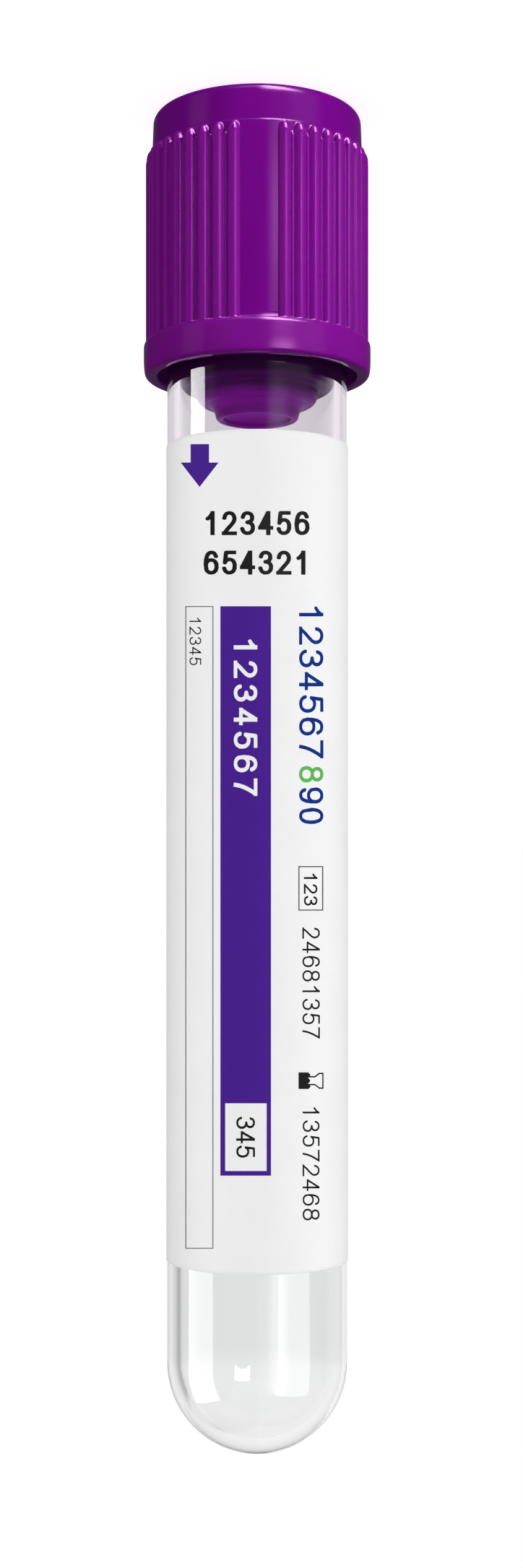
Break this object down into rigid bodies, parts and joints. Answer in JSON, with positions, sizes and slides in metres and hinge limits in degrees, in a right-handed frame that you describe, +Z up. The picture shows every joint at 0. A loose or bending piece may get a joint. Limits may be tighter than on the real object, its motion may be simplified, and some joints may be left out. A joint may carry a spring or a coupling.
{
  "type": "blood collection tube",
  "caption": "Clear round-bottom sample tube with a wrapped paper label and a ribbed purple safety cap whose rubber stopper pulls out of the mouth with the cap.",
  "frame": {"origin": "on the surface that the tube stands on, at the centre of the flat top of its cap", "axes": "+Z up, along the tube from the cap to the round bottom; -Y is the printed front"},
  "size_m": [0.0164, 0.0164, 0.0964],
  "materials": {
    "clear_tube": "clear, polished",
    "label_paper": "matt, printed",
    "cap_plastic": "glossy, moulded",
    "stopper_rubber": "smooth rubber"
  },
  "bodies": {
    "closure": {"cap": "cap_plastic", "stopper": "stopper_rubber"},
    "tube_body": {"tube": "clear_tube", "label": "label_paper"}
  },
  "joints": [
    {"name": "tube_pull", "type": "slide", "parent": "closure", "child": "tube_body", "axis": [0, 0, 1], "range_m": [0, 0.03]}
  ]
}
